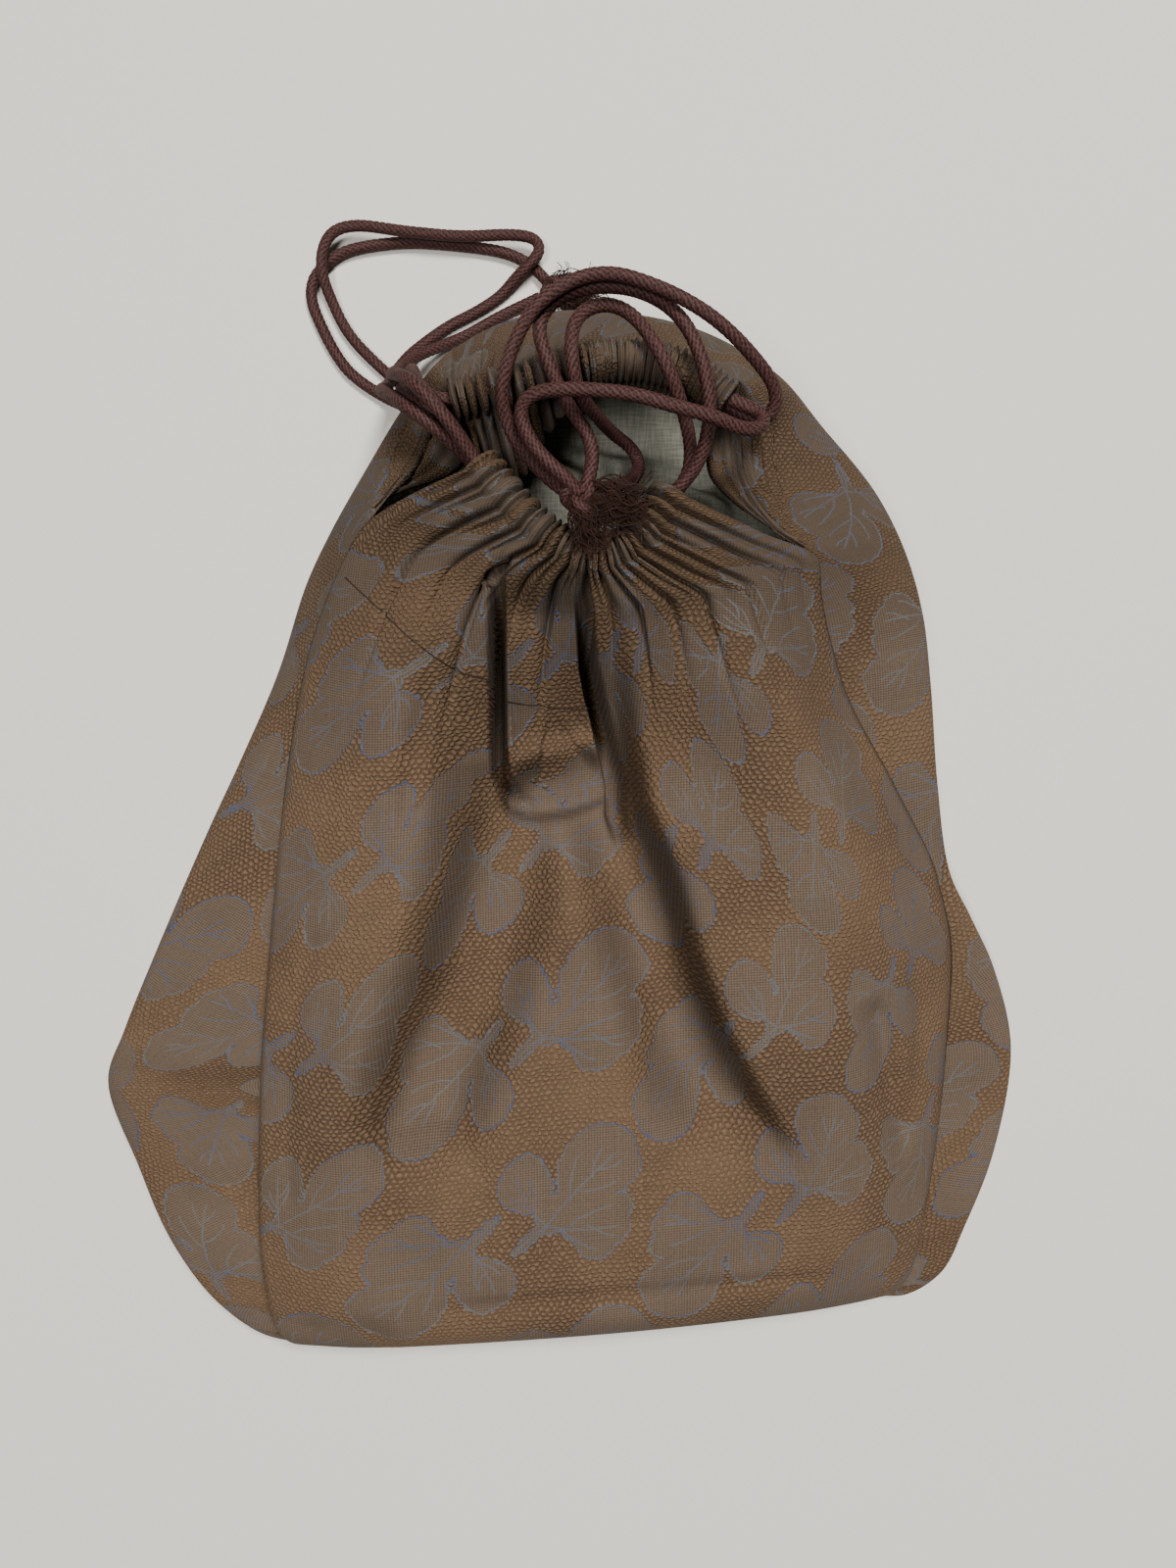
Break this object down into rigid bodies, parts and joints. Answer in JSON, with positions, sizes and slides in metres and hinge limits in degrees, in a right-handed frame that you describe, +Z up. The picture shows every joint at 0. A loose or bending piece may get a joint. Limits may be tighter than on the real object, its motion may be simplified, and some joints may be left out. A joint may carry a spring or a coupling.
{
  "type": "drawstring shoulder bag",
  "caption": "Soft drawstring shoulder bag of leaf-patterned jacquard cloth with braided cords and frayed tassels, lying on its back with its gathered mouth open.",
  "frame": {"origin": "on the flat underside that the bag rests on, under the middle of the body", "axes": "+Z up from the resting face, +Y from the base to the mouth, +X to the right of someone looking down with the mouth away from them"},
  "size_m": [0.3723, 0.468, 0.1231],
  "materials": {
    "leaf_jacquard": "matt brown jacquard, blistered ground with flat leaves outlined in blue thread",
    "lining_cloth": "plain matt grey-green cotton",
    "braided_cord": "round dark maroon-brown braid with a soft sheen",
    "frayed_yarn": "loose frayed dark brown yarn"
  },
  "bodies": {
    "root": {"front_panel": "leaf_jacquard", "back_panel": "leaf_jacquard", "lining": "lining_cloth", "drawcord_1": "braided_cord", "drawcord_2_back": "braided_cord", "drawcord_2_front": "braided_cord", "tassel_right": "frayed_yarn", "tassel_left": "frayed_yarn"}
  },
  "joints": []
}
